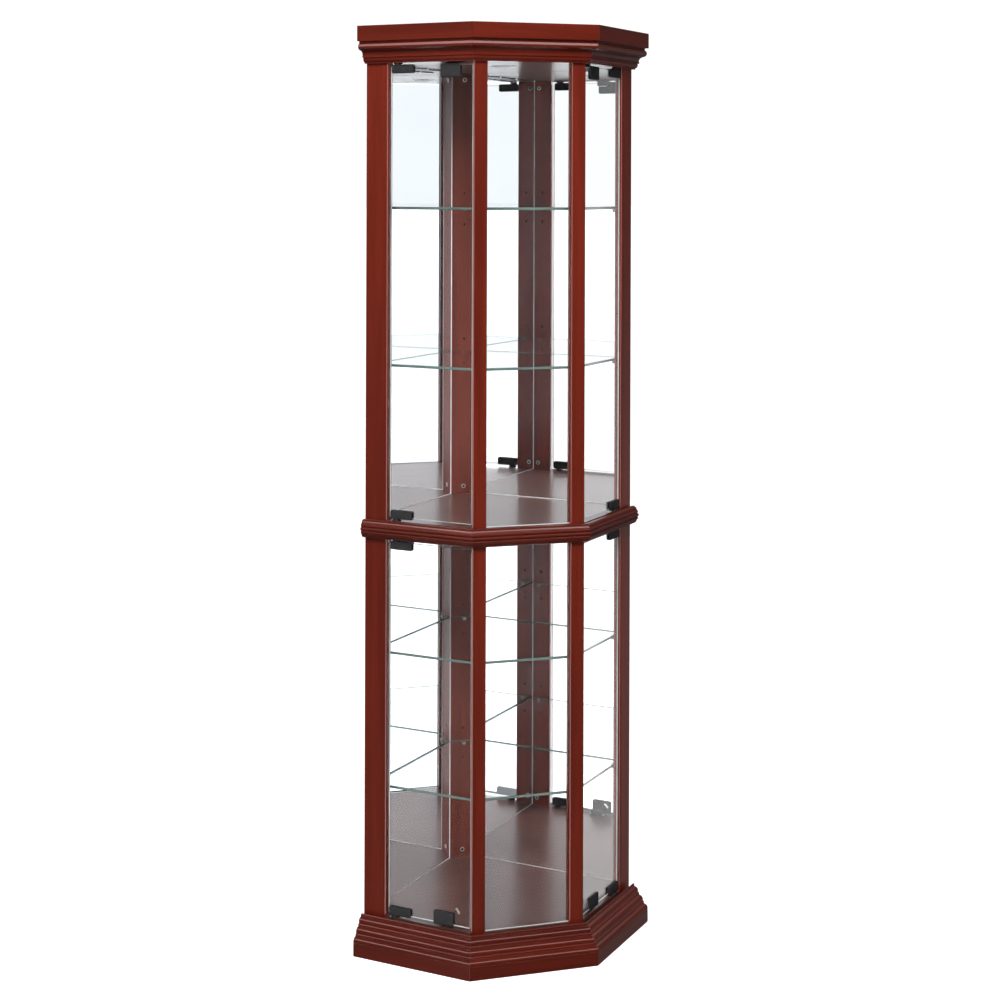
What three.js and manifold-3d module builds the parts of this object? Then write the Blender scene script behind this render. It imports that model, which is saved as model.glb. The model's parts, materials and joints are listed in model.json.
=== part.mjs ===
// Corner curio cabinet: a glass case that stands in the corner of a room, with two mirror
// walls, two glass doors on each side, a fixed glass front and four glass shelves.
//
// The cabinet is laid out in plan from the corner where the two mirror faces meet: u runs
// from that corner along the left mirror, and v along the right mirror, in millimetres.
// z is the height above the floor. Everything on the right side is the left side mirrored
// in the plane u = v. The finished group is turned so that the front faces -Y, with the
// origin on the floor at the middle of the cabinet's outline.
import * as THREE from "three";
import { mergeVertices } from "three/addons/utils/BufferGeometryUtils.js";
import Module from "manifold-3d";

// ---- Driving dimensions, in millimetres -------------------------------------------------
const HEIGHT = 1750;
const DOOR_PLANE = 376; // from the mirror corner to the outer face of a door side
const FRONT_START = 221; // where the door side ends and the front face begins
const BACK_PLANE = -8; // the posts reach this far behind the mirror faces
const BOARD = 18; // thickness of the posts and panels
const GAP = 0.3; // clearance between pieces that touch

const FLOOR_TOP = 72;
const WAIST_BOTTOM = 783;
const WAIST_TOP = 818;
const CEILING = 1680;
const TOP_BOARD_BOTTOM = 1728;
const TOP_BOARD_TOP = 1746;

const SIDE_POST_WIDTH = 48;
const FRONT_POST_FACE = 27;
const DOOR_SIDE_END = 219; // the door side of a front post
const BACK_POST_FACE = 38; // the back post's face runs from u = 38 to v = 38
const BACK_POST_OUTSIDE = 10; // u + v on the back post's outer face
const RABBET = 6; // how far the mirrors run into the side posts

const MIRROR = 3;
const BACKING = 3;
const GLASS = 5;
const GLASS_SETBACK = 4; // from the outer face of the posts to the glass
const GROOVE_DEPTH = 4;

const DOOR_START = 43;
const DOOR_END = 216.5;
const DOOR_EDGE_GAP_BOTTOM = 5.7; // from a panel up to the door glass
const DOOR_EDGE_GAP_TOP = 5.2; // from the door glass up to a panel
const PIVOT = { u: DOOR_PLANE - GLASS_SETBACK - GLASS / 2, v: 57 };

const SHELF_LEVELS = { lower_1: 310, lower_2: 564, upper_1: 1108.5, upper_2: 1407 };
const SHELF = 5;
const SHELF_INSET = { front: 19, side: 22 }; // the sides stay clear of an opening door's tail
const PIN_HOLE_PITCH = 32;
const PIN_HOLE_RADIUS = 2.6;
const PIN_HOLE_DEPTH = 9;
const SIDE_PIN_HOLE = 20; // from the mirror to the holes in a side post
const FRONT_PIN_HOLE = 0.4; // share of the way along a front post's inner face

const CLAMP = { start: 46, length: 46, height: 16, thickness: 11, over: 2.2 };
const PIN_RADIUS = 3;
const PIN_LENGTH = 8;
const BOSS_RADIUS = 6.5;
const CLIP = { length: 42, height: 25, thickness: 9 };
const CLIP_START = { lower: 140, upper: 149 };
const LATCH = { width: 24, height: 12, length: 13, flange: 33, flangeThickness: 2 };
const LATCH_FROM_CLIP = 17.5; // from where the strike clip starts to the latch's middle
const LATCH_FRONT = DOOR_PLANE - 18;
const PLUNGER_AXIS = 7; // from the panel that carries the latch
const PLUNGER = { radius: 3, head: 4.2, headLength: 3, shaft: 7.5, bore: 11 };
const TIP_GAP = 0.5; // between the plunger's tip and the strike clip

const LAMP = { setback: 108, radius: 24, height: 26, wall: 1.5, ring: 26.5, lens: 21.4 };
const LEAD_RADIUS = 1.1;
const LEAD_ROUTE = [
  [62, 32], [94, 18], [120, 31], [148, 34], [176, 23], [200, 29], [240, 24],
  [270, 29], [300, 25], [326, 34], [343, 40],
];

const ROOT2 = Math.SQRT2;
const FRONT_SUM = DOOR_PLANE + FRONT_START; // u + v on the front face
const FRONT_HALF = (DOOR_PLANE - FRONT_START) / ROOT2; // half the front face's width
const MITRE = Math.tan(Math.PI / 8);
const LAMP_PLACE = FRONT_SUM / 2 - LAMP.setback; // u and v of the lamp's middle

// The base moulding is three steps, each a narrow bead over a quarter round, and a band.
const BASE = { ledge: 9, steps: 3, stepOut: 10.3, stepDown: 15.3, bead: 2.6, round: 7 };
const BASE_FACE = BASE.ledge + BASE.steps * BASE.stepOut;

const wasm = await Module();
wasm.setup();

// ---- Plan helpers -------------------------------------------------------------------------
// A point seen from the front face: s along it from its middle to the right, d behind it.
function frontPoint(s, d) {
  const middle = FRONT_SUM / 2;
  return [middle - (s + d) / ROOT2, middle + (s - d) / ROOT2];
}

// Corners as [u, v, fillet radius]; a corner with a radius becomes a short arc.
function outline(corners, arcSteps = 4) {
  const points = [];
  corners.forEach(([u, v, radius = 0], i) => {
    const corner = new THREE.Vector2(u, v);
    if (radius === 0) {
      points.push(corner);
      return;
    }
    const before = corners[(i + corners.length - 1) % corners.length];
    const after = corners[(i + 1) % corners.length];
    const a = new THREE.Vector2(before[0], before[1]).sub(corner).normalize();
    const b = new THREE.Vector2(after[0], after[1]).sub(corner).normalize();
    const halfAngle = Math.acos(THREE.MathUtils.clamp(a.dot(b), -1, 1)) / 2;
    const reach = radius / Math.tan(halfAngle);
    const start = corner.clone().addScaledVector(a, reach);
    const end = corner.clone().addScaledVector(b, reach);
    const bisector = a.clone().add(b).normalize();
    const centre = corner.clone().addScaledVector(bisector, radius / Math.sin(halfAngle));
    const from = start.clone().sub(centre).angle();
    let turn = end.clone().sub(centre).angle() - from;
    if (turn > Math.PI) turn -= 2 * Math.PI;
    if (turn < -Math.PI) turn += 2 * Math.PI;
    for (let k = 0; k <= arcSteps; k += 1) {
      const angle = from + (turn * k) / arcSteps;
      const arm = new THREE.Vector2(Math.cos(angle), Math.sin(angle)).multiplyScalar(radius);
      points.push(centre.clone().add(arm));
    }
  });
  return points;
}

// The outline moved outwards by a distance, with its corners kept sharp.
function grown(points, distance) {
  const turn = THREE.ShapeUtils.isClockWise(points) ? -1 : 1;
  const edges = points.map((p, i) => {
    const q = points[(i + 1) % points.length];
    const along = q.clone().sub(p).normalize();
    const normal = new THREE.Vector2(along.y, -along.x).multiplyScalar(turn * distance);
    return { from: p.clone().add(normal), along };
  });
  return edges.map((edge, i) => {
    const last = edges[(i + edges.length - 1) % edges.length];
    const cross = last.along.cross(edge.along);
    const t = edge.from.clone().sub(last.from).cross(edge.along) / cross;
    return last.from.clone().addScaledVector(last.along, t);
  });
}

// ---- Solid helpers ------------------------------------------------------------------------
function bareGeometry(geometry) {
  const bare = geometry.index ? geometry.toNonIndexed() : geometry.clone();
  bare.deleteAttribute("normal");
  bare.deleteAttribute("uv");
  return mergeVertices(bare, 1e-4);
}

function solid(geometry) {
  const merged = bareGeometry(geometry);
  return new wasm.Manifold(
    new wasm.Mesh({
      numProp: 3,
      vertProperties: merged.attributes.position.array,
      triVerts: new Uint32Array(merged.index.array),
    }),
  );
}

function geometryOf(manifold) {
  const mesh = manifold.getMesh();
  const geometry = new THREE.BufferGeometry();
  geometry.setAttribute("position", new THREE.BufferAttribute(mesh.vertProperties, 3));
  geometry.setIndex(new THREE.BufferAttribute(mesh.triVerts, 1));
  return geometry;
}

function carved(geometry, cutters) {
  const result = cutters.reduce((body, cutter) => body.subtract(solid(cutter)), solid(geometry));
  return geometryOf(result);
}

function joined(geometries) {
  const [first, ...rest] = geometries.map(solid);
  return geometryOf(rest.reduce((body, piece) => body.add(piece), first));
}

// A copy mirrored in the plane u = v, with its faces still pointing out.
function mirrored(geometry) {
  const copy = bareGeometry(geometry);
  const position = copy.attributes.position;
  for (let i = 0; i < position.count; i += 1) {
    position.setXY(i, position.getY(i), position.getX(i));
  }
  const index = copy.index;
  for (let i = 0; i < index.count; i += 3) {
    const second = index.getX(i + 1);
    index.setX(i + 1, index.getX(i + 2));
    index.setX(i + 2, second);
  }
  return copy;
}

// An outline in plan, standing from z0 to z1.
function prism(points, z0, z1) {
  const shape = new THREE.Shape(points);
  const geometry = new THREE.ExtrudeGeometry(shape, { depth: z1 - z0, bevelEnabled: false });
  return geometry.translate(0, 0, z0);
}

function box(u0, u1, v0, v1, z0, z1) {
  const geometry = new THREE.BoxGeometry(u1 - u0, v1 - v0, z1 - z0);
  return geometry.translate((u0 + u1) / 2, (v0 + v1) / 2, (z0 + z1) / 2);
}

function rod(from, to, radius, sides = 20) {
  const start = new THREE.Vector3(...from);
  const axis = new THREE.Vector3(...to).sub(start);
  const geometry = new THREE.CylinderGeometry(radius, radius, axis.length(), sides);
  geometry.translate(0, axis.length() / 2, 0);
  const up = new THREE.Vector3(0, 1, 0);
  const turn = new THREE.Quaternion().setFromUnitVectors(up, axis.clone().normalize());
  geometry.applyQuaternion(turn);
  return geometry.translate(start.x, start.y, start.z);
}

// A plate that stands in the plane of a left door: rounded corners, softened edges.
function uprightPlate(uOuter, thickness, v0, v1, z0, z1, corner, bevel) {
  const edge = outline(
    [
      [v0 + bevel, z0 + bevel, corner],
      [v1 - bevel, z0 + bevel, corner],
      [v1 - bevel, z1 - bevel, corner],
      [v0 + bevel, z1 - bevel, corner],
    ],
    3,
  );
  const geometry = new THREE.ExtrudeGeometry(new THREE.Shape(edge), {
    depth: thickness - 2 * bevel,
    bevelThickness: bevel,
    bevelSize: bevel,
    bevelSegments: 1,
  });
  geometry.translate(0, 0, bevel);
  // The plate was drawn in x, y: turn x to v, y to z and its depth to u.
  const turn = new THREE.Matrix4().makeBasis(
    new THREE.Vector3(0, 1, 0),
    new THREE.Vector3(0, 0, 1),
    new THREE.Vector3(1, 0, 0),
  );
  geometry.applyMatrix4(turn);
  return geometry.translate(uOuter - thickness, 0, 0);
}

// A flat glass plate in plan with softened edges.
function flatPlate(points, z0, thickness, bevel) {
  const geometry = new THREE.ExtrudeGeometry(new THREE.Shape(grown(points, -bevel)), {
    depth: thickness - 2 * bevel,
    bevelThickness: bevel,
    bevelSize: bevel,
    bevelSegments: 1,
  });
  return geometry.translate(0, 0, z0 + bevel);
}

// A moulding: the profile (p out from the face, z up) swept between two slanted ends.
function moulding(profile, startOf, endOf) {
  const count = profile.length;
  const positions = [];
  for (const placeOf of [startOf, endOf]) {
    for (const point of profile) {
      positions.push(...placeOf(point.x), point.y);
    }
  }
  const caps = THREE.ShapeUtils.triangulateShape(profile, []);
  const faces = [];
  for (const [a, b, c] of caps) {
    faces.push(a, b, c);
    faces.push(count + c, count + b, count + a);
  }
  for (let i = 0; i < count; i += 1) {
    const next = (i + 1) % count;
    faces.push(next, i, count + i);
    faces.push(next, count + i, count + next);
  }
  const geometry = new THREE.BufferGeometry();
  geometry.setAttribute("position", new THREE.Float32BufferAttribute(positions, 3));
  geometry.setIndex(faces);
  return geometry;
}

// ---- Materials ----------------------------------------------------------------------------
function material(color, roughness, metalness, extra = {}) {
  return new THREE.MeshStandardMaterial({ color, roughness, metalness, ...extra });
}
const MATERIALS = {
  cherry: () => material(0x6f2418, 0.35, 0),
  panel: () => material(0x3a1c16, 0.2, 0),
  hardboard: () => material(0x6b4a34, 0.8, 0),
  mirror: () => material(0xe6ebea, 0.05, 1),
  glass: () => material(0xcfe4dc, 0.05, 0, { transparent: true, opacity: 0.35 }),
  black: () => material(0x121212, 0.4, 0.6),
  plastic: () => material(0x1c1c1d, 0.55, 0),
  nickel: () => material(0xc9c9c6, 0.25, 1),
};

const cabinet = new THREE.Group();
function add(name, geometry, finish) {
  const mesh = new THREE.Mesh(geometry, MATERIALS[finish]());
  mesh.name = name;
  cabinet.add(mesh);
}

function addPair(stem, geometry, finish) {
  add(`${stem}_left`, geometry, finish);
  add(`${stem}_right`, mirrored(geometry), finish);
}

// ---- Posts --------------------------------------------------------------------------------
const POST_INNER = DOOR_PLANE - BOARD;
const sidePostOutline = [
  [POST_INNER, GAP],
  [POST_INNER + RABBET, GAP],
  [POST_INNER + RABBET, BACK_PLANE],
  [DOOR_PLANE, BACK_PLANE, 1.5],
  [DOOR_PLANE, BACK_PLANE + SIDE_POST_WIDTH, 3],
  [POST_INNER, BACK_PLANE + SIDE_POST_WIDTH, 1.5],
];
const frontPostOutline = [
  [POST_INNER, DOOR_SIDE_END],
  [DOOR_PLANE, DOOR_SIDE_END],
  [DOOR_PLANE, FRONT_START, 4],
  [...frontPoint(FRONT_POST_FACE - FRONT_HALF, 0), 2.5],
  frontPoint(FRONT_POST_FACE - FRONT_HALF, BOARD),
];
const backPostOutline = [
  [BACK_POST_FACE, 0],
  [0, BACK_POST_FACE],
  [BACK_PLANE, BACK_POST_FACE],
  [BACK_PLANE, BACK_POST_OUTSIDE - BACK_PLANE],
  [BACK_POST_OUTSIDE - BACK_PLANE, BACK_PLANE],
  [BACK_POST_FACE, BACK_PLANE],
];

// Holes for the shelf pins: three heights for each shelf, in one column on a post.
function pinHoles(u, v, outU, outV) {
  const holes = [];
  for (const level of Object.values(SHELF_LEVELS)) {
    for (const step of [-1, 0, 1]) {
      const z = level - SHELF / 2 - PIN_HOLE_RADIUS + step * PIN_HOLE_PITCH;
      const mouth = [u + outU, v + outV, z];
      const end = [u - outU * PIN_HOLE_DEPTH, v - outV * PIN_HOLE_DEPTH, z];
      holes.push(rod(mouth, end, PIN_HOLE_RADIUS, 8));
    }
  }
  return holes;
}

// A groove in the front post's inner side, which holds the fixed glass.
const grooveFrom = FRONT_POST_FACE - FRONT_HALF;
const groove = outline([
  frontPoint(grooveFrom - GROOVE_DEPTH, GLASS_SETBACK - GAP),
  frontPoint(grooveFrom + 1, GLASS_SETBACK - GAP),
  frontPoint(grooveFrom + 1, GLASS_SETBACK + GLASS + GAP),
  frontPoint(grooveFrom - GROOVE_DEPTH, GLASS_SETBACK + GLASS + GAP),
]);

function addPosts() {
  const top = TOP_BOARD_BOTTOM - GAP;
  const sidePost = prism(outline(sidePostOutline), 0, top);
  addPair("post", carved(sidePost, pinHoles(POST_INNER, SIDE_PIN_HOLE, -1, 0)), "cherry");

  const inner = frontPoint(FRONT_POST_FACE - FRONT_HALF, BOARD);
  const reach = new THREE.Vector2(inner[0] - POST_INNER, inner[1] - DOOR_SIDE_END);
  const along = reach.clone().normalize();
  const place = reach.multiplyScalar(FRONT_PIN_HOLE).add({ x: POST_INNER, y: DOOR_SIDE_END });
  const frontPost = prism(outline(frontPostOutline), 0, top);
  const holes = pinHoles(place.x, place.y, -along.y, along.x);
  const glassGroove = prism(groove, FLOOR_TOP - BOARD, CEILING + BOARD);
  addPair("post_front", carved(frontPost, [...holes, glassGroove]), "cherry");

  const centre = BACK_POST_FACE / 2;
  const backHoles = pinHoles(centre, centre, 1 / ROOT2, 1 / ROOT2);
  add("post_back", carved(prism(outline(backPostOutline), 0, top), backHoles), "cherry");
}

// ---- Panels -------------------------------------------------------------------------------
const plainOutline = (corners) => outline(corners.map(([u, v]) => [u, v]));
const POST_CLEARANCES = [sidePostOutline, frontPostOutline].flatMap((corners) => {
  const clear = grown(plainOutline(corners), GAP);
  return [clear, clear.map((p) => new THREE.Vector2(p.y, p.x)).reverse()];
});
// Everything from the back post's face to the room corner.
const BACK_CLEARANCE = grown(
  outline([
    [BACK_POST_FACE, 0],
    [0, BACK_POST_FACE],
    [2 * BACK_PLANE, BACK_POST_FACE],
    [2 * BACK_PLANE, 2 * BACK_PLANE],
    [BACK_POST_FACE, 2 * BACK_PLANE],
  ]),
  GAP,
);

function panelBlank(z0, z1) {
  const back = -MIRROR;
  const edge = outline([
    [back, back],
    [DOOR_PLANE - GAP, back],
    [DOOR_PLANE - GAP, FRONT_START],
    [FRONT_START, DOOR_PLANE - GAP],
    [back, DOOR_PLANE - GAP],
  ]);
  const posts = [...POST_CLEARANCES, BACK_CLEARANCE];
  return carved(prism(edge, z0, z1), posts.map((clear) => prism(clear, z0 - 1, z1 + 1)));
}

// Blind holes for the pivot pins of both doors, above or below a panel's face.
function pivotHoles(z, direction) {
  const depth = direction * (PIN_LENGTH + 1);
  const places = [[PIVOT.u, PIVOT.v], [PIVOT.v, PIVOT.u]];
  return places.map(([u, v]) => {
    return rod([u, v, z - direction], [u, v, z + depth], PIN_RADIUS + 2 * GAP, 20);
  });
}

function addPanels() {
  const floor = panelBlank(FLOOR_TOP - BOARD, FLOOR_TOP);
  add("floor_panel", carved(floor, pivotHoles(FLOOR_TOP, -1)), "panel");
  const waist = panelBlank(WAIST_BOTTOM, WAIST_TOP);
  const waistHoles = [...pivotHoles(WAIST_BOTTOM, 1), ...pivotHoles(WAIST_TOP, -1)];
  add("waist_panel", carved(waist, waistHoles), "panel");
  const lampHole = rod(
    [LAMP_PLACE, LAMP_PLACE, CEILING - 1],
    [LAMP_PLACE, LAMP_PLACE, CEILING + BOARD + 1],
    LAMP.radius + GAP,
    32,
  );
  const ceiling = panelBlank(CEILING, CEILING + BOARD);
  add("ceiling_panel", carved(ceiling, [...pivotHoles(CEILING, 1), lampHole]), "panel");

  const topEdge = outline([
    [BACK_POST_OUTSIDE - BACK_PLANE, BACK_PLANE],
    [DOOR_PLANE, BACK_PLANE],
    [DOOR_PLANE, FRONT_START],
    [FRONT_START, DOOR_PLANE],
    [BACK_PLANE, DOOR_PLANE],
    [BACK_PLANE, BACK_POST_OUTSIDE - BACK_PLANE],
  ]);
  add("top_board", prism(topEdge, TOP_BOARD_BOTTOM, TOP_BOARD_TOP), "cherry");
}

// ---- Mirrors, backing boards and fixed glass ------------------------------------------------
function addWalls() {
  const u0 = BACK_POST_FACE + GAP;
  const u1 = POST_INNER + RABBET - GAP;
  const backing = -MIRROR - GAP;
  const boardTop = TOP_BOARD_BOTTOM - GAP;
  addPair("back_board", box(u0, u1, backing - BACKING, backing, GAP, boardTop), "hardboard");
  const lower = box(u0, u1, -MIRROR, 0, FLOOR_TOP + GAP, WAIST_BOTTOM - GAP);
  addPair("mirror_lower", lower, "mirror");
  const upper = box(u0, u1, -MIRROR, 0, WAIST_TOP + GAP, CEILING - GAP);
  addPair("mirror_upper", upper, "mirror");

  const half = FRONT_HALF - FRONT_POST_FACE + GROOVE_DEPTH - GAP;
  const pane = outline([
    frontPoint(-half, GLASS_SETBACK),
    frontPoint(half, GLASS_SETBACK),
    frontPoint(half, GLASS_SETBACK + GLASS),
    frontPoint(-half, GLASS_SETBACK + GLASS),
  ]);
  add("front_glass_lower", prism(pane, FLOOR_TOP + GAP, WAIST_BOTTOM - GAP), "glass");
  add("front_glass_upper", prism(pane, WAIST_TOP + GAP, CEILING - GAP), "glass");
}

// ---- Shelves ------------------------------------------------------------------------------
function addShelves() {
  const side = DOOR_PLANE - SHELF_INSET.side;
  const frontSum = FRONT_SUM - SHELF_INSET.front * ROOT2;
  const wall = 2;
  const backSum = BACK_POST_FACE + 4;
  const edge = outline([
    [backSum - wall, wall],
    [side, wall],
    [side, frontSum - side],
    [frontSum - side, side],
    [wall, side],
    [wall, backSum - wall],
  ]);
  for (const [place, level] of Object.entries(SHELF_LEVELS)) {
    add(`shelf_${place}`, flatPlate(edge, level - SHELF / 2, SHELF, 0.6), "glass");
  }
}

// ---- Mouldings ----------------------------------------------------------------------------
// A profile's points, anticlockwise, without the doubled ones where two arcs meet.
function profilePoints(path) {
  const all = path.getPoints(2);
  const points = all.filter((p, i) => p.distanceTo(all[(i + 1) % all.length]) > 0.01);
  return THREE.ShapeUtils.isClockWise(points) ? points.reverse() : points;
}

function baseProfile() {
  const { bead, round } = BASE;
  const quirk = 0.4; // between a bead and the quarter round below it
  const arris = 1.5;
  const path = new THREE.Shape();
  path.moveTo(GAP, FLOOR_TOP);
  for (let step = 0; step < BASE.steps; step += 1) {
    const p = BASE.ledge + step * BASE.stepOut;
    const face = p + BASE.stepOut;
    const z = FLOOR_TOP - step * BASE.stepDown;
    const next = z - BASE.stepDown;
    path.absarc(p, z - bead, bead, Math.PI / 2, -Math.PI / 4, true);
    path.absarc(face - round, z - 2 * bead - quirk - round, round, Math.PI / 2, 0, true);
    path.lineTo(face, next + 1);
    path.lineTo(face - 1, next + 0.5);
  }
  path.lineTo(BASE_FACE, FLOOR_TOP - BASE.steps * BASE.stepDown);
  path.lineTo(BASE_FACE, arris);
  path.lineTo(BASE_FACE - arris, 0);
  path.lineTo(GAP, 0);
  return profilePoints(path);
}

// Waist: a half round with three reeds along its nose.
function waistProfile() {
  const middle = (WAIST_TOP + WAIST_BOTTOM) / 2;
  const round = 10;
  const flat = 5;
  const turn = Math.PI / 5;
  const reed = 3.3;
  const reedTurn = (75 * Math.PI) / 180;
  const reedCentres = [[13.5, 6.4], [15.2, 0], [13.5, -6.4]];
  const path = new THREE.Shape();
  path.moveTo(GAP, WAIST_TOP);
  path.absarc(flat, WAIST_TOP - round, round, Math.PI / 2, turn, true);
  for (const [p, rise] of reedCentres) {
    path.absarc(p, middle + rise, reed, reedTurn, -reedTurn, true);
  }
  path.absarc(flat, WAIST_BOTTOM + round, round, -turn, -Math.PI / 2, true);
  path.lineTo(GAP, WAIST_BOTTOM);
  return profilePoints(path);
}

// Cornice: fascia, bead, cove, fillet and a small quarter round above the doors.
function corniceProfile() {
  const degree = Math.PI / 180;
  const fascia = { face: 36, bottom: HEIGHT - 29, arris: 1 };
  const shadowLine = { face: 28, bottom: HEIGHT - 32.5 };
  const bead = { middle: 26, z: HEIGHT - 39, radius: 6.5 };
  const cove = { face: 24.5, top: HEIGHT - 46, radius: 9.5 };
  const fillet = { face: 16, bottom: CEILING + 11 };
  const round = { start: 13.2, middle: 6.5, z: CEILING + 8.5, radius: 6.5, end: 7.6 };
  const path = new THREE.Shape();
  path.moveTo(GAP, HEIGHT);
  path.lineTo(fascia.face - fascia.arris, HEIGHT);
  path.lineTo(fascia.face, HEIGHT - fascia.arris);
  path.lineTo(fascia.face, fascia.bottom);
  path.lineTo(shadowLine.face, fascia.bottom);
  path.lineTo(shadowLine.face, shadowLine.bottom);
  path.absarc(bead.middle, bead.z, bead.radius, 75 * degree, -80 * degree, true);
  path.lineTo(cove.face, cove.top);
  path.absarc(cove.face, cove.top - cove.radius, cove.radius, Math.PI / 2, Math.PI, false);
  path.lineTo(fillet.face, cove.top - cove.radius);
  path.lineTo(fillet.face, fillet.bottom);
  path.lineTo(round.start, fillet.bottom);
  path.absarc(round.middle, round.z, round.radius, 20 * degree, -80 * degree, true);
  path.lineTo(round.end, CEILING);
  path.lineTo(GAP, CEILING);
  return profilePoints(path);
}

function addMouldings() {
  const sideStart = (p) => [DOOR_PLANE + p, BACK_PLANE];
  const sideEnd = (p) => [DOOR_PLANE + p, FRONT_START + MITRE * p - GAP / 2];
  const frontStart = (p) => frontPoint(-FRONT_HALF - MITRE * p + GAP / 2, -p);
  const frontEnd = (p) => frontPoint(FRONT_HALF + MITRE * p - GAP / 2, -p);
  const profiles = { base_moulding: baseProfile(), waist_moulding: waistProfile() };
  profiles.cornice = corniceProfile();
  for (const [stem, profile] of Object.entries(profiles)) {
    addPair(stem, moulding(profile, sideStart, sideEnd), "cherry");
    add(`${stem}_front`, moulding(profile, frontStart, frontEnd), "cherry");
  }
}

// ---- Doors --------------------------------------------------------------------------------
const GLASS_OUTER = DOOR_PLANE - GLASS_SETBACK;
const SLOT = GLASS + 2 * GAP;

// A U-shaped block that grips the glass over its top (side 1) or bottom (side -1) edge.
function glassGrip(grip, glassEdge, side) {
  const outer = PIVOT.u + grip.thickness / 2;
  const shut = glassEdge + side * CLAMP.over;
  const open = shut - side * grip.height;
  const z0 = Math.min(shut, open);
  const z1 = Math.max(shut, open);
  const end = grip.start + grip.length;
  const block = uprightPlate(outer, grip.thickness, grip.start, end, z0, z1, 2, 0.7);
  const slotEnd = glassEdge + side * GAP;
  const slotStart = open - side;
  const slot = box(
    PIVOT.u - SLOT / 2,
    PIVOT.u + SLOT / 2,
    grip.start - 1,
    end + 1,
    Math.min(slotStart, slotEnd),
    Math.max(slotStart, slotEnd),
  );
  return carved(block, [slot]);
}

// A hinge clamp with the boss and pin that turn in the panel beyond the glass edge.
function hingeClamp(glassEdge, panelFace, side) {
  const shut = glassEdge + side * CLAMP.over;
  const place = [PIVOT.u, PIVOT.v];
  const boss = rod([...place, shut - side], [...place, panelFace - side * GAP], BOSS_RADIUS, 24);
  const pinEnd = panelFace + side * PIN_LENGTH;
  const pin = rod([...place, shut - side * 0.5], [...place, pinEnd], PIN_RADIUS, 16);
  return joined([glassGrip(CLAMP, glassEdge, side), boss, pin]);
}

function addDoor(level, panelBelow, panelAbove, latchSide) {
  const z0 = panelBelow + DOOR_EDGE_GAP_BOTTOM;
  const z1 = panelAbove - DOOR_EDGE_GAP_TOP;
  const pane = uprightPlate(GLASS_OUTER, GLASS, DOOR_START, DOOR_END, z0, z1, 2, 0.6);
  addPair(`door_glass_${level}`, pane, "glass");
  addPair(`hinge_clamp_${level}_top`, hingeClamp(z1, panelAbove, 1), "black");
  addPair(`hinge_clamp_${level}_bottom`, hingeClamp(z0, panelBelow, -1), "black");
  const clipEdge = latchSide === 1 ? z1 : z0;
  const clip = { ...CLIP, start: CLIP_START[level] };
  addPair(`strike_clip_${level}`, glassGrip(clip, clipEdge, latchSide), "black");
}

// ---- Touch latches ------------------------------------------------------------------------
// The latch stands on the floor (side -1) or hangs from the ceiling (side 1), behind the clip.
function addLatch(level, panelFace, side) {
  const face = panelFace - side * GAP;
  const span = (from, to) => [face - side * from, face - side * to].sort((a, b) => a - b);
  const back = LATCH_FRONT - LATCH.length;
  const v = CLIP_START[level] + LATCH_FROM_CLIP;
  const half = LATCH.width / 2;
  const wide = LATCH.flange / 2;
  const housing = box(back, LATCH_FRONT, v - half, v + half, ...span(0, LATCH.height));
  const low = span(0, LATCH.flangeThickness);
  const flange = box(back + 2, LATCH_FRONT - 2, v - wide, v + wide, ...low);
  const z = face - side * PLUNGER_AXIS;
  const mouth = [LATCH_FRONT + 1, v, z];
  const bore = rod(mouth, [LATCH_FRONT - PLUNGER.bore, v, z], PLUNGER.radius + GAP, 20);
  addPair(`latch_body_${level}`, carved(joined([housing, flange]), [bore]), "plastic");

  const tip = PIVOT.u - CLIP.thickness / 2 - TIP_GAP;
  const neck = tip - PLUNGER.headLength;
  const head = rod([neck, v, z], [tip, v, z], PLUNGER.head, 20);
  const shaftEnd = [neck - PLUNGER.shaft, v, z];
  const shaft = rod([neck + 1, v, z], shaftEnd, PLUNGER.radius, 20);
  addPair(`latch_plunger_${level}`, joined([head, shaft]), "nickel");
}

// ---- Ceiling lamp and its lead --------------------------------------------------------------
function addLamp() {
  const under = CEILING - 1.2;
  const top = CEILING + LAMP.height;
  const inner = LAMP.radius - LAMP.wall;
  const canProfile = [
    [0, top],
    [LAMP.radius, top],
    [LAMP.radius, CEILING - GAP],
    [LAMP.ring, CEILING - GAP],
    [LAMP.ring - 1, under],
    [inner - 0.5, under],
    [inner - 0.5, CEILING + 3],
    [inner, CEILING + 3.5],
    [inner, top - LAMP.wall],
    [0, top - LAMP.wall],
  ].map(([r, z]) => new THREE.Vector2(r, z));
  const turnUp = (geometry) => {
    return geometry.rotateX(Math.PI / 2).translate(LAMP_PLACE, LAMP_PLACE, 0);
  };
  const can = new THREE.LatheGeometry(canProfile.reverse(), 24);
  add("lamp_can", turnUp(can), "nickel");
  const lensAt = (z) => [LAMP_PLACE, LAMP_PLACE, z];
  const lens = rod(lensAt(under + 0.2), lensAt(CEILING + 2), LAMP.lens, 24);
  add("lamp_lens", lens, "glass");

  const z = CEILING - LEAD_RADIUS - GAP;
  const route = new THREE.CatmullRomCurve3(LEAD_ROUTE.map(([u, v]) => new THREE.Vector3(u, v, z)));
  const ring = new THREE.Shape();
  ring.absarc(0, 0, LEAD_RADIUS, 0, 2 * Math.PI, false);
  const section = new THREE.Shape(ring.getPoints(3).slice(0, 6));
  const lead = new THREE.ExtrudeGeometry(section, { steps: 40, extrudePath: route });
  add("lamp_lead", lead, "plastic");
}

addPosts();
addPanels();
addWalls();
addShelves();
addMouldings();
addDoor("lower", FLOOR_TOP, WAIST_BOTTOM, -1);
addDoor("upper", WAIST_TOP, CEILING, 1);
addLatch("lower", FLOOR_TOP, -1);
addLatch("upper", CEILING, 1);
addLamp();

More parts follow.
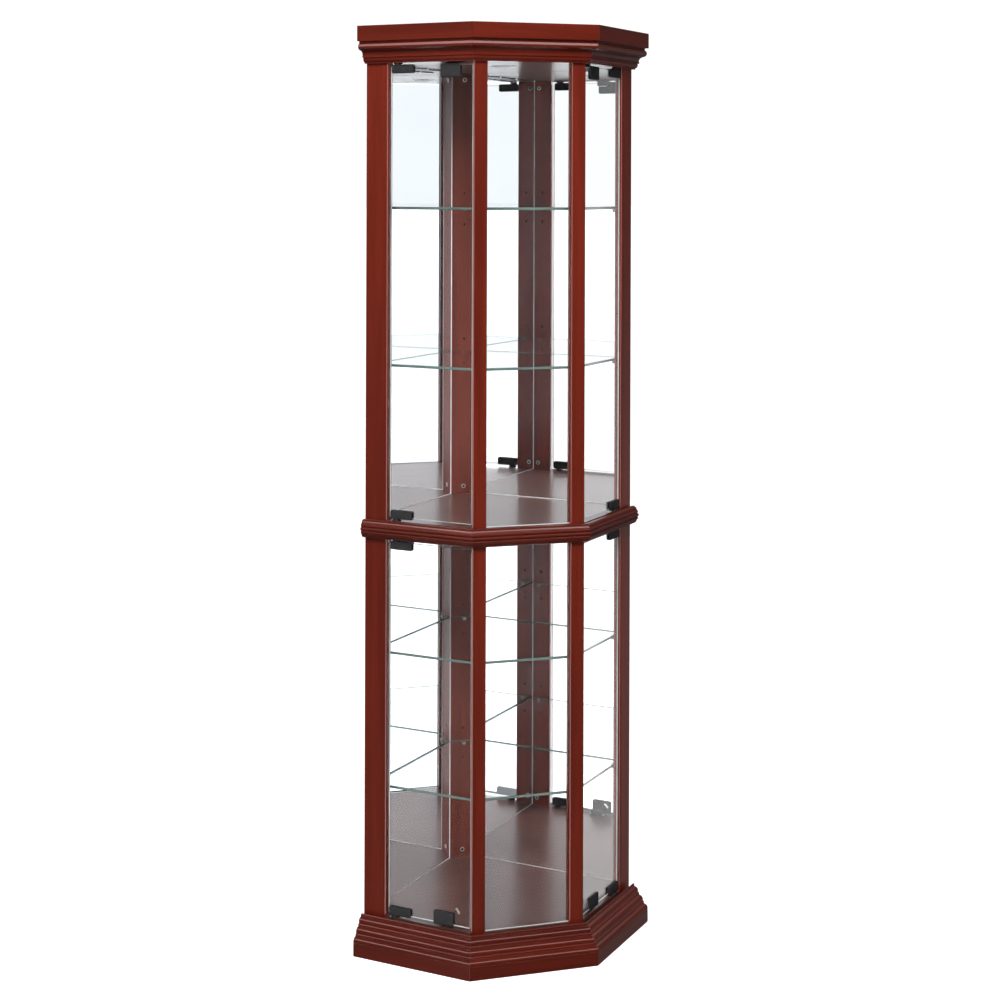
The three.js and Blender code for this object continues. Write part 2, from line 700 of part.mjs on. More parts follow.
// The mirror corner lies at the back: turn the plan so that the front face looks along -Y,
// and bring the middle of the outline to the origin.
const backY = -BACK_POST_OUTSIDE / ROOT2;
const frontY = -FRONT_SUM / ROOT2 - BASE_FACE;
cabinet.rotation.z = (5 * Math.PI) / 4;
cabinet.position.y = -(backY + frontY) / 2;

export default cabinet;
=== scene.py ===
import json
import math

import bmesh
import bpy
from mathutils import Matrix, Vector

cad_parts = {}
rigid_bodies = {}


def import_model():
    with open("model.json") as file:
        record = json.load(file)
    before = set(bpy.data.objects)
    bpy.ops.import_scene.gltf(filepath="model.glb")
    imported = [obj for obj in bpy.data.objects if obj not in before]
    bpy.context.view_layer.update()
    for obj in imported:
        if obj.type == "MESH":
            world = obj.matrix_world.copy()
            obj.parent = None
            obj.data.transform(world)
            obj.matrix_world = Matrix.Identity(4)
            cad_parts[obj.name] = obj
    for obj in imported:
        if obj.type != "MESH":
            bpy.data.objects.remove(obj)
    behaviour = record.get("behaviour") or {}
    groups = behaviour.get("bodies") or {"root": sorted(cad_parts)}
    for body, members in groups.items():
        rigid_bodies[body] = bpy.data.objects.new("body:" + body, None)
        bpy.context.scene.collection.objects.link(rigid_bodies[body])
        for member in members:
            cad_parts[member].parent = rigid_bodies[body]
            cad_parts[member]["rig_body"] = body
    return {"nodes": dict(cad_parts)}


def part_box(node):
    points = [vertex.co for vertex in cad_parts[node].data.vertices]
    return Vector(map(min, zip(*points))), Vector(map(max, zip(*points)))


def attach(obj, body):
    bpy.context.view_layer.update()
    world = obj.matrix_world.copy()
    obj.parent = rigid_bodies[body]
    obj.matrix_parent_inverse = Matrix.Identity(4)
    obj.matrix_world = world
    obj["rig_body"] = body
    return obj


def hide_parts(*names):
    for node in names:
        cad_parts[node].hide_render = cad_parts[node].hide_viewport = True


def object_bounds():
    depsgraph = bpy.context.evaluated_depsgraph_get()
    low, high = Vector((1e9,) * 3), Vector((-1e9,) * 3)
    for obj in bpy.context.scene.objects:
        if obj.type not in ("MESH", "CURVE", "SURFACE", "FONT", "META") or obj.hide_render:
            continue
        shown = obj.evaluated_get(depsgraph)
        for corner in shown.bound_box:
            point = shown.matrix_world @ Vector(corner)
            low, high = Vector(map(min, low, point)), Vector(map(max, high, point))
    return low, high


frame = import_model()
cad_low, cad_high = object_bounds()
nodes = frame["nodes"]

MM = 0.001
ROOT2 = math.sqrt(2)
SIDES = ("left", "right")
LEVELS = ("lower", "upper")

# ---- The plan frame: u runs from the mirror corner along the left mirror, v along the right --
BACK_POST_OUTSIDE = 10 * MM
CORNER_Y = cad_high.y + BACK_POST_OUTSIDE / ROOT2
PLAN = Matrix.Translation((0, CORNER_Y, 0)) @ Matrix.Rotation(math.radians(225), 4, "Z")
SWAP = Matrix(((0, 1, 0, 0), (1, 0, 0, 0), (0, 0, 1, 0), (0, 0, 0, 1)))
PLACES = {"left": PLAN, "right": PLAN @ SWAP, "middle": PLAN}

FLOOR_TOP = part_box("floor_panel")[1].z
WAIST_BOTTOM, WAIST_TOP = (corner.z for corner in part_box("waist_panel"))
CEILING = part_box("ceiling_panel")[0].z


# ---- Camera ---------------------------------------------------------------------------------
CAMERA_PLACE = (-1.2276, -3.5992, 1.4545)
CAMERA_YAW, CAMERA_ROLL = 0.2993, 0.0032
CAMERA_LENS = 70.14
CAMERA_SHIFT = (0.06, -0.317)


def make_camera():
    """A level camera: the frame is shifted down, so that upright edges stay parallel."""
    data = bpy.data.cameras.new("camera")
    data.sensor_width = 36
    data.lens = CAMERA_LENS
    data.shift_x, data.shift_y = CAMERA_SHIFT
    camera = bpy.data.objects.new("camera", data)
    bpy.context.scene.collection.objects.link(camera)
    turn = Matrix.Rotation(-CAMERA_YAW, 4, "Z") @ Matrix.Rotation(math.pi / 2, 4, "X")
    roll = Matrix.Rotation(CAMERA_ROLL, 4, "Z")
    camera.matrix_world = Matrix.Translation(CAMERA_PLACE) @ turn @ roll
    bpy.context.scene.camera = camera


make_camera()


# ---- Stage and light ------------------------------------------------------------------------
class Shade:
    """A node tree of a material or a world, built one node at a time."""

    def __init__(self, name, store=bpy.data.materials, output="ShaderNodeOutputMaterial"):
        self.material = store.new(name)
        self.material.use_nodes = True
        self.tree = self.material.node_tree
        self.tree.nodes.clear()
        self.output = self.tree.nodes.new(output)

    def node(self, kind, inputs=None, **settings):
        made = self.tree.nodes.new(kind)
        for key, value in settings.items():
            setattr(made, key, value)
        for key, value in (inputs or {}).items():
            if isinstance(value, bpy.types.NodeSocket):
                self.tree.links.new(value, made.inputs[key])
            else:
                made.inputs[key].default_value = value
        return made

    def coordinates(self, grain=(0, 0, 1), scale=(1, 1, 1)):
        """Object coordinates turned so that the grain runs along z, then scaled."""
        where = self.node("ShaderNodeTexCoord").outputs["Object"]
        turn = Vector(grain).rotation_difference(Vector((0, 0, 1))).to_euler("XYZ")
        turned = self.node("ShaderNodeMapping", {"Vector": where, "Rotation": turn})
        return self.scaled(turned.outputs[0], scale)

    def scaled(self, vector, scale):
        return self.node("ShaderNodeMapping", {"Vector": vector, "Scale": scale}).outputs[0]

    def noise(self, vector, scale=1.0, detail=3.0, roughness=0.55, distortion=0.0):
        inputs = {
            "Vector": vector,
            "Scale": scale,
            "Detail": detail,
            "Roughness": roughness,
            "Distortion": distortion,
        }
        return self.node("ShaderNodeTexNoise", inputs).outputs["Fac"]

    def ramp(self, value, stops):
        """A colour ramp through (position, colour or grey) stops."""
        made = self.node("ShaderNodeValToRGB", {"Fac": value})
        elements = made.color_ramp.elements
        while len(elements) < len(stops):
            elements.new(0.5)
        for element, (position, colour) in zip(elements, stops):
            element.position = position
            rgb = (colour,) * 3 if isinstance(colour, (int, float)) else colour
            element.color = (*rgb, 1)
        return made.outputs["Color"]

    def mix(self, share, a, b, blend="MIX"):
        made = self.node("ShaderNodeMix", {"Factor": share}, data_type="RGBA", blend_type=blend)
        for socket, value in ((made.inputs[6], a), (made.inputs[7], b)):
            if isinstance(value, bpy.types.NodeSocket):
                self.tree.links.new(value, socket)
            else:
                socket.default_value = (*value, 1)
        return made.outputs[2]

    def spread(self, value, low, high, from_low=0.0, from_high=1.0):
        inputs = {
            "Value": value,
            "From Min": from_low,
            "From Max": from_high,
            "To Min": low,
            "To Max": high,
        }
        return self.node("ShaderNodeMapRange", inputs).outputs[0]

    def math(self, operation, a, b=0.0):
        return self.node("ShaderNodeMath", {0: a, 1: b}, operation=operation).outputs[0]

    def toward(self, direction, where, edge, full):
        """1 within a cone round a direction, softly down to 0 at its edge."""
        along = self.node(
            "ShaderNodeVectorMath", {0: where, 1: direction}, operation="DOT_PRODUCT"
        ).outputs["Value"]
        return self.node(
            "ShaderNodeMapRange",
            {"Value": along, "From Min": edge, "From Max": full},
            interpolation_type="SMOOTHSTEP",
        ).outputs[0]

    def bump(self, height, strength, distance, normal=None):
        inputs = {"Height": height, "Strength": strength, "Distance": distance}
        if normal is not None:
            inputs["Normal"] = normal
        return self.node("ShaderNodeBump", inputs).outputs[0]

    def surface(self, shader):
        self.tree.links.new(shader, self.output.inputs["Surface"])
        return self.material

    def principled(self, **inputs):
        named = {key.replace("_", " "): value for key, value in inputs.items()}
        return self.node("ShaderNodeBsdfPrincipled", named).outputs[0]


FLOOR_REACH = 113  # metres: its far edge lies close under the horizon
FLOOR_GAP = 0.2 * MM


def studio_floor():
    """Pale paper that reaches to the horizon, just below the cabinet."""
    shade = Shade("studio_floor")
    patch = shade.noise(shade.coordinates(), scale=1.3, detail=2)
    colour = shade.mix(patch, (0.95, 0.95, 0.95), (0.97, 0.97, 0.97))
    paper = shade.principled(
        Base_Color=colour, Roughness=0.7, Emission_Color=(1, 1, 1, 1), Emission_Strength=0.86
    )
    bm = bmesh.new()
    bmesh.ops.create_grid(bm, x_segments=4, y_segments=4, size=FLOOR_REACH)
    mesh = bpy.data.meshes.new("studio_floor")
    bm.to_mesh(mesh)
    bm.free()
    mesh.materials.append(shade.surface(paper))
    floor = bpy.data.objects.new("studio_floor", mesh)
    floor.location.z = cad_low.z - FLOOR_GAP
    bpy.context.scene.collection.objects.link(floor)
    floor.visible_glossy = False
    floor.visible_diffuse = False


def area_light(name, place, target, size, power):
    """A soft light that isn't seen itself, straight or in polish or through glass."""
    data = bpy.data.lights.new(name, "AREA")
    data.shape = "RECTANGLE"
    data.size, data.size_y = size
    data.energy = power
    light = bpy.data.objects.new(name, data)
    light.location = place
    light.rotation_euler = (Vector(target) - Vector(place)).to_track_quat("-Z", "Y").to_euler()
    bpy.context.scene.collection.objects.link(light)
    light.visible_glossy = False
    light.visible_transmission = False
    light.visible_camera = False


def compass(azimuth, elevation):
    """The unit vector toward an azimuth from +X and an elevation, in degrees."""
    around, up = math.radians(azimuth), math.radians(elevation)
    return (math.cos(up) * math.cos(around), math.cos(up) * math.sin(around), math.sin(up))


WHITE_SURROUND = 1.08
AMBIENT = 0.18
SKY = (0.985, 0.995, 1.0, 1)


def studio_world():
    """A white surround, dark to polish except for a tall soft light and one overhead.

    Mirrors and clear glass see it white. It lights matt surfaces faintly, more from above.
    """
    shade = Shade("studio", bpy.data.worlds, "ShaderNodeOutputWorld")
    where = shade.node("ShaderNodeTexCoord").outputs["Generated"]
    path = shade.node("ShaderNodeLightPath").outputs
    tall = shade.toward(compass(240, 0), where, 0.3, 0.8)
    for edge in (150, 330):
        beyond = shade.toward(compass(edge, 0), where, 0.42, 0.56)
        tall = shade.math("MULTIPLY", tall, shade.math("SUBTRACT", 1.0, beyond))
    height = shade.node("ShaderNodeSeparateXYZ", {"Vector": where}).outputs["Z"]
    above = shade.ramp(height, [(0.5, 0.0), (0.56, 1.0), (0.68, 1.0), (0.74, 0.0)])
    ahead = shade.spread(shade.toward(compass(235, 0), where, -0.1, 0.3), 0.2, 1.0)
    above = shade.math("MULTIPLY", above, ahead)
    behind = shade.toward(compass(17, 0), where, 0.85, 0.97)
    behind = shade.math("MULTIPLY", behind, shade.toward((0, 0, -1), where, 0.0, 0.15))
    glow = shade.math("ADD", shade.math("MULTIPLY", tall, 6.0), 0.08)
    glow = shade.math("ADD", glow, shade.math("MULTIPLY", above, 8.0))
    glow = shade.math("ADD", glow, shade.math("MULTIPLY", behind, 0.15))
    clear = shade.math("SUBTRACT", 1.0, path["Is Singular Ray"])
    polish = shade.math("MULTIPLY", path["Is Glossy Ray"], clear)
    strength = shade.node(
        "ShaderNodeMix", {"Factor": polish, "A": WHITE_SURROUND, "B": glow}
    ).outputs[0]
    ambient = shade.spread(height, AMBIENT * 0.45, AMBIENT * 1.35, -0.3, 0.5)
    strength = shade.node(
        "ShaderNodeMix", {"Factor": path["Is Diffuse Ray"], "A": strength, "B": ambient}
    ).outputs[0]
    sky = shade.node("ShaderNodeBackground", {"Color": SKY, "Strength": strength})
    world = shade.surface(sky.outputs[0])
    world.cycles.sampling_method = "NONE"
    return world


def studio_light():
    """The world and three soft lights, in the Standard view transform."""
    scene = bpy.context.scene
    scene.world = studio_world()
    scene.view_settings.view_transform = "Standard"
    scene.view_settings.look = "None"
    scene.cycles.max_bounces = 32
    scene.cycles.diffuse_bounces = 4
    scene.cycles.glossy_bounces = 12
    scene.cycles.transmission_bounces = 24
    scene.cycles.transparent_max_bounces = 48
    middle = Vector((0, 0, 0.9))
    key = middle + 3.4 * Vector(compass(247, 36))
    area_light("key", key, middle, (1.0, 1.2), 96)
    fill = middle + 3.6 * Vector(compass(335, 10))
    area_light("fill", fill, middle, (1.4, 2.2), 12)
    top = middle + 2.6 * Vector(compass(100, 62))
    area_light("top", top, middle, (2.0, 1.6), 14)


studio_floor()
studio_light()


# ---- Materials ------------------------------------------------------------------------------
GRAINS = {
    "upright": (0, 0, 1),
    "front": (1, 0, 0),
    "left": (1 / ROOT2, -1 / ROOT2, 0),
    "right": (1 / ROOT2, 1 / ROOT2, 0),
}


def wood(name, grain, dark, light, roughness, coat, coat_roughness, strength=1.0):
    """Stained close-grained wood under lacquer."""
    shade = Shade(name)
    tone = shade.noise(shade.coordinates(grain, (5, 5, 0.8)), detail=3, distortion=0.4)
    figure = shade.noise(shade.coordinates(grain, (38, 38, 1.6)), detail=5, distortion=0.6)
    streak = shade.noise(shade.coordinates(grain, (260, 260, 7)), detail=4, roughness=0.6)
    pore = shade.noise(shade.coordinates(grain, (1500, 1500, 90)), detail=2)
    base = shade.mix(shade.ramp(tone, [(0.3, 0.0), (0.7, 1.0)]), dark, light)
    patches = shade.ramp(figure, [(0.3, 0.66), (0.7, 1.16)])
    base = shade.mix(0.85 * strength, base, patches, "MULTIPLY")
    lines = shade.ramp(streak, [(0.3, 0.74), (0.65, 1.06)])
    base = shade.mix(0.6 * strength, base, lines, "MULTIPLY")
    flecks = shade.ramp(pore, [(0.58, 1.0), (0.7, 0.5)])
    base = shade.mix(0.3 * strength, base, flecks, "MULTIPLY")
    film = shade.noise(shade.coordinates(grain, (70, 70, 20)), detail=1)
    normal = shade.bump(film, 0.02 * strength, 0.1 * MM)
    lacquered = shade.principled(
        Base_Color=base,
        Roughness=shade.spread(figure, roughness - 0.02, roughness + 0.03, 0.3, 0.7),
        Normal=normal,
        Specular_IOR_Level=0.15,
        Coat_Weight=coat,
        Coat_Roughness=coat_roughness,
        Coat_IOR=1.5,
    )
    return shade.surface(lacquered)


CHERRY_DARK, CHERRY_LIGHT = (0.135, 0.0135, 0.006), (0.22, 0.0245, 0.0105)
cherry = {}
for key, grain in GRAINS.items():
    # The mouldings get a darker copy of the cherry: painted shade for their recesses.
    darkening = 1.0 if key == "upright" else 0.72
    dark, light = (tuple(darkening * c for c in tone) for tone in (CHERRY_DARK, CHERRY_LIGHT))
    cherry[key] = wood(f"cherry_{key}", grain, dark, light, 0.34, 0.5, 0.1)
BACK_DARK, BACK_LIGHT = (0.14, 0.03, 0.019), (0.215, 0.05, 0.034)
cherry["back"] = wood("cherry_back", (0, 0, 1), BACK_DARK, BACK_LIGHT, 0.42, 0.15, 0.2)
PANEL_DARK, PANEL_LIGHT = (0.085, 0.034, 0.027), (0.14, 0.062, 0.05)
dark_panel = wood("dark_panel", (1, 0, 0), PANEL_DARK, PANEL_LIGHT, 0.3, 0.5, 0.18, 0.3)


def hardboard_material():
    """Plain brown hardboard with pressed fibres."""
    shade = Shade("hardboard")
    where = shade.coordinates()
    mottle = shade.noise(where, scale=45, detail=6, roughness=0.7)
    fibre = shade.noise(where, scale=700, detail=3, distortion=1.5)
    dark, light = (0.11, 0.055, 0.03), (0.19, 0.1, 0.055)
    base = shade.mix(shade.ramp(mottle, [(0.3, 0.0), (0.7, 1.0)]), dark, light)
    base = shade.mix(0.6, base, shade.ramp(fibre, [(0.35, 0.7), (0.7, 1.15)]), "MULTIPLY")
    normal = shade.bump(fibre, 0.35, 0.1 * MM)
    return shade.surface(shade.principled(Base_Color=base, Roughness=0.75, Normal=normal))


def see_through(shade, shader, tint):
    """Lets lamps and bounced light straight through a glass shader."""
    path = shade.node("ShaderNodeLightPath")
    soft = shade.node(
        "ShaderNodeMath",
        {0: path.outputs["Is Shadow Ray"], 1: path.outputs["Is Diffuse Ray"]},
        operation="MAXIMUM",
    )
    open_air = shade.node("ShaderNodeBsdfTransparent", {"Color": (*tint, 1)})
    mixed = shade.node(
        "ShaderNodeMixShader", {0: soft.outputs[0], 1: shader, 2: open_air.outputs[0]}
    )
    return mixed.outputs[0]


def pane_material(name, clearest, dullest):
    """Clear float glass, with the faintest trace of wiping on its surface."""
    shade = Shade(name)
    wiped = shade.noise(shade.coordinates(scale=(3, 3, 9)), detail=4, distortion=1.0)
    tint = shade.ramp(wiped, [(0.45, clearest), (0.85, dullest)])
    glass = shade.principled(
        Base_Color=tint,
        Roughness=0.0,
        IOR=1.25,
        Specular_Tint=(0.3, 0.3, 0.3, 1),
        Transmission_Weight=1.0,
    )
    return shade.surface(see_through(shade, glass, clearest))


def glass_edge_material(name, dark, light):
    """The ground and polished edge of a sheet of float glass, where its green shows. Near-white
    colours paint in the glint that an edge catches: a painted highlight.
    """
    shade = Shade(name)
    run = shade.noise(shade.coordinates(scale=(9, 9, 9)), detail=3)
    fine = shade.noise(shade.coordinates(scale=(400, 400, 400)), detail=2)
    base = shade.mix(shade.ramp(run, [(0.35, 0.0), (0.68, 1.0)]), dark, light)
    return shade.surface(
        shade.principled(
            Base_Color=base,
            Roughness=shade.spread(fine, 0.12, 0.26),
            Normal=shade.bump(fine, 0.1, 0.05 * MM),
            Coat_Weight=0.6,
            Coat_Roughness=0.05,
        )
    )


def mirror_material():
    """Silvered glass, with a trace of wiping."""
    shade = Shade("mirror_silver")
    wiped = shade.noise(shade.coordinates(scale=(2.5, 2.5, 7)), detail=4, distortion=1.2)
    cloud = shade.ramp(wiped, [(0.4, (0.935, 0.955, 0.975)), (0.85, (0.92, 0.94, 0.96))])
    return shade.surface(shade.principled(Base_Color=cloud, Metallic=1.0, Roughness=0.0))


def enamel_material(name, colour, roughness, metallic, grain_size):
    """Painted metal or moulded plastic with a fine even texture and rubbed spots."""
    shade = Shade(name)
    where = shade.coordinates()
    fine = shade.noise(where, scale=grain_size, detail=2)
    worn = shade.noise(where, scale=90, detail=4)
    lighter = tuple(c * 1.8 + 0.004 for c in colour)
    base = shade.mix(shade.ramp(worn, [(0.45, 0.0), (0.8, 1.0)]), colour, lighter)
    return shade.surface(
        shade.principled(
            Base_Color=base,
            Metallic=metallic,
            Roughness=shade.spread(worn, roughness - 0.06, roughness + 0.1, 0.3, 0.7),
            Normal=shade.bump(fine, 0.3, 0.04 * MM),
            Specular_IOR_Level=0.22,
        )
    )


def plated_material(name, colour, roughness):
    """Plated metal with fine turning marks."""
    shade = Shade(name)
    turned = shade.noise(shade.coordinates(scale=(600, 600, 4000)), detail=2)
    darkening = shade.noise(shade.coordinates(scale=(150, 150, 150)), detail=4)
    base = shade.mix(darkening, colour, tuple(c * 0.8 for c in colour))
    return shade.surface(
        shade.principled(
            Base_Color=base,
            Metallic=1.0,
            Roughness=shade.spread(turned, roughness - 0.05, roughness + 0.1, 0.3, 0.7),
            Normal=shade.bump(turned, 0.15, 0.02 * MM),
        )
    )


def lens_material():
    """Frosted glass over the lamp."""
    shade = Shade("lamp_lens_glass")
    frost = shade.noise(shade.coordinates(scale=(900, 900, 900)), detail=3)
    glass = shade.principled(
        Base_Color=(0.93, 0.94, 0.93, 1),
        Roughness=shade.spread(frost, 0.35, 0.5),
        IOR=1.5,
        Transmission_Weight=0.85,
        Normal=shade.bump(frost, 0.4, 0.1 * MM),
    )
    return shade.surface(glass)


def glint_bead_material():
    """Pale silicone bead, near white: a painted highlight for the glint along the glass edge
    that it lines.
    """
    shade = Shade("glint_bead")
    drift = shade.noise(shade.coordinates(scale=(40, 40, 40)), detail=3)
    base = shade.ramp(drift, [(0.35, (0.86, 0.89, 0.88)), (0.7, (0.97, 0.98, 0.98))])
    return shade.surface(
        shade.principled(
            Base_Color=base,
            Roughness=shade.spread(drift, 0.2, 0.35),
            Normal=shade.bump(drift, 0.2, 0.1 * MM),
        )
    )


hardboard = hardboard_material()
door_pane = pane_material("door_pane_glass", (0.993, 0.998, 0.997), (0.98, 0.988, 0.986))
shelf_pane = pane_material("shelf_pane_glass", (0.985, 0.996, 0.997), (0.97, 0.984, 0.984))
# The door and front pane edges are near white: a painted highlight for the glint along their
# edges.
pane_edge_glint = glass_edge_material("glass_edge_painted_glint", (0.5, 0.62, 0.59), (0.92, 0.97, 0.95))
shelf_edge = glass_edge_material("glass_edge_green", (0.05, 0.1, 0.085), (0.12, 0.21, 0.18))
silver = mirror_material()
mirror_edge = glass_edge_material("mirror_edge", (0.35, 0.45, 0.42), (0.75, 0.8, 0.78))
black_metal = enamel_material("black_metal", (0.007, 0.0065, 0.007), 0.5, 0.0, 2500)
latch_plastic = enamel_material("latch_plastic", (0.028, 0.028, 0.03), 0.45, 0.0, 1800)
nickel = plated_material("nickel", (0.66, 0.65, 0.62), 0.2)
screw_zinc = plated_material("screw_zinc", (0.92, 0.9, 0.86), 0.32)
pin_steel = plated_material("pin_steel", (0.3, 0.29, 0.28), 0.3)
lead_sheath = enamel_material("lead_sheath", (0.05, 0.05, 0.055), 0.4, 0.0, 1500)
lens_glass = lens_material()
# Near-white beads: a painted highlight for the glint of glass edges.
glint_bead = glint_bead_material()

# ---- CAD nodes that keep their shape --------------------------------------------------------
SOFT_ANGLE = math.radians(32)  # edges sharper than this are softened


def dress(name, material, arris=0.4 * MM):
    """Gives a CAD node its finish, and softens its sharp edges by arris."""
    piece = nodes[name]
    piece.data.materials.clear()
    piece.data.materials.append(material)
    for face in piece.data.polygons:
        face.use_smooth = True
    weld = piece.modifiers.new("weld", "WELD")
    weld.merge_threshold = 0.01 * MM
    soft = piece.modifiers.new("arris", "BEVEL")
    soft.width = arris
    soft.segments = 2
    soft.limit_method = "ANGLE"
    soft.angle_limit = SOFT_ANGLE
    soft.miter_outer = "MITER_ARC"
    even = piece.modifiers.new("even", "WEIGHTED_NORMAL")
    even.mode = "FACE_AREA"
    even.weight = 60


for node_name in nodes:
    stem, _, side = node_name.rpartition("_")
    if node_name == "post_back":
        dress(node_name, cherry["back"])
    elif node_name.startswith("post_"):
        dress(node_name, cherry["upright"])
    elif stem in ("base_moulding", "waist_moulding", "cornice"):
        dress(node_name, cherry[side], 0.3 * MM)
    elif node_name == "top_board":
        dress(node_name, cherry["front"])
    elif node_name in ("floor_panel", "waist_panel", "ceiling_panel"):
        dress(node_name, dark_panel, 0.2 * MM)
    elif stem == "back_board":
        dress(node_name, hardboard, 0.2 * MM)
    elif node_name.startswith(("hinge_clamp", "strike_clip")):
        dress(node_name, black_metal, 0.3 * MM)
    elif node_name.startswith("latch_body"):
        dress(node_name, latch_plastic, 0.5 * MM)
    elif node_name.startswith("latch_plunger"):
        dress(node_name, nickel, 0.5 * MM)
    elif node_name == "lamp_can":
        dress(node_name, nickel, 0.2 * MM)
    elif node_name == "lamp_lens":
        dress(node_name, lens_glass, 0.4 * MM)
    elif node_name == "lamp_lead":
        dress(node_name, lead_sheath, 0.05 * MM)


# ---- Glass and mirrors ----------------------------------------------------------------------
def finish_mesh(name, bm, materials):
    """Turns a drawn mesh into a smooth-shaded piece in the scene."""
    mesh = bpy.data.meshes.new(name)
    bm.to_mesh(mesh)
    bm.free()
    for material in materials:
        mesh.materials.append(material)
    mesh.polygons.foreach_set("use_smooth", [True] * len(mesh.polygons))
    mesh.set_sharp_from_angle(angle=SOFT_ANGLE)
    piece = bpy.data.objects.new(name, mesh)
    bpy.context.scene.collection.objects.link(piece)
    return piece


def sheet_of_glass(node_name, name, face_normal, materials):
    """A clean copy of a sheet of glass, with one finish on its faces and one on its edges."""
    bm = bmesh.new()
    bm.from_mesh(nodes[node_name].data)
    bmesh.ops.remove_doubles(bm, verts=bm.verts, dist=0.01 * MM)
    bmesh.ops.dissolve_limit(
        bm, angle_limit=math.radians(0.5), verts=bm.verts, edges=bm.edges
    )
    bmesh.ops.recalc_face_normals(bm, faces=bm.faces)
    for face in bm.faces:
        face.material_index = 0 if abs(face.normal.dot(face_normal)) > 0.99 else 1
    piece = finish_mesh(name, bm, materials)
    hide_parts(node_name)
    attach(piece, nodes[node_name]["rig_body"])


WALL_NORMALS = {"left": Vector((1, -1, 0)).normalized(), "right": Vector((1, 1, 0)).normalized()}
DOOR_NORMALS = {"left": WALL_NORMALS["right"], "right": WALL_NORMALS["left"]}
FRONT_NORMAL, SHELF_NORMAL = Vector((0, 1, 0)), Vector((0, 0, 1))
PANE, SHELF, MIRROR = [door_pane, pane_edge_glint], [shelf_pane, shelf_edge], [silver, mirror_edge]


def glass_and_mirrors():
    """Every sheet of glass and every mirror in the cabinet."""
    for level in LEVELS:
        for side in SIDES:
            door, mirror = f"door_glass_{level}_{side}", f"mirror_{level}_{side}"
            pane, sheet = f"door_pane_{level}_{side}", f"mirror_sheet_{level}_{side}"
            sheet_of_glass(door, pane, DOOR_NORMALS[side], PANE)
            sheet_of_glass(mirror, sheet, WALL_NORMALS[side], MIRROR)
        front, pane = f"front_glass_{level}", f"front_pane_{level}"
        sheet_of_glass(front, pane, FRONT_NORMAL, PANE)
        for number in (1, 2):
            shelf, pane = f"shelf_{level}_{number}", f"shelf_glass_{level}_{number}"
            sheet_of_glass(shelf, pane, SHELF_NORMAL, SHELF)


glass_and_mirrors()

# ---- Tools for the small pieces, which are drawn in plan millimetres --------------------------
def placed(name, bm, side, material, body="cabinet"):
    """Puts a mesh drawn in plan millimetres (u, v, z) on its side of the cabinet."""
    bm.transform(PLACES[side] @ Matrix.Scale(MM, 4))
    bmesh.ops.recalc_face_normals(bm, faces=bm.faces)
    piece = finish_mesh(name, bm, [material])
    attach(piece, body)


def turned(bm, profile, origin, axis, steps=20):
    """Adds a solid of revolution: profile holds (radius, height) from end to end."""
    turn = Vector((0, 0, 1)).rotation_difference(Vector(axis).normalized()).to_matrix()
    rings = []
    for radius, height in profile:
        count = steps if radius > 1e-6 else 1
        ring = []
        for k in range(count):
            angle = 2 * math.pi * k / steps
            local = Vector((radius * math.cos(angle), radius * math.sin(angle), height))
            ring.append(bm.verts.new(Vector(origin) + turn @ local))
        rings.append(ring)
    for a, b in zip(rings, rings[1:]):
        for k in range(steps):
            corners = [a[k % len(a)], a[(k + 1) % len(a)], b[(k + 1) % len(b)], b[k % len(b)]]
            unique = list(dict.fromkeys(corners))
            if len(unique) > 2:
                bm.faces.new(unique)


def drawn(bm, section, origin, along, up, length, start=0.0):
    """Adds a straight bar: section holds (across, up) points, swept along a direction."""
    along, up = Vector(along).normalized(), Vector(up).normalized()
    across = up.cross(along)
    ends = []
    for distance in (start, start + length):
        middle = Vector(origin) + along * distance
        ends.append([bm.verts.new(middle + across * x + up * y) for x, y in section])
    count = len(section)
    for k in range(count):
        n = (k + 1) % count
        bm.faces.new([ends[0][k], ends[0][n], ends[1][n], ends[1][k]])
    bm.faces.new(ends[0])
    bm.faces.new(list(reversed(ends[1])))


def half_round(radius, top, steps=8):
    """The section of a bar that is round below and flat on top."""
    arc = [math.pi + math.pi * k / steps for k in range(steps + 1)]
    return [(radius, top), (-radius, top)] + [
        (radius * math.cos(a), radius * math.sin(a)) for a in arc
    ]


# Where things are in plan, and up to where the drawn pieces reach.
FRONT_MIDDLE = 298.5  # u and v of the middle of the front face
FRONT_HALF = 155 / ROOT2  # half the front face's width
FRONT_POST_FACE = 27
DOOR_SIDE_END = 219  # where the door side of a front post ends
BOARD = 18  # thickness of the posts
SIDE_POST_FACE = 358  # u of the inner face of the left side post
BACK_POST_FACE = 38  # its face runs from u = 38 to v = 38
PIVOT_U, PIVOT_V = 369.5, 57
CLIP_START = {"lower": 140, "upper": 149}
CLIP_LENGTH = 42
UP, DOWN = 1, -1


def front_place(s, d):
    """A point seen from the front face: s along it from its middle, d behind it."""
    return (FRONT_MIDDLE - (s + d) / ROOT2, FRONT_MIDDLE + (s - d) / ROOT2)


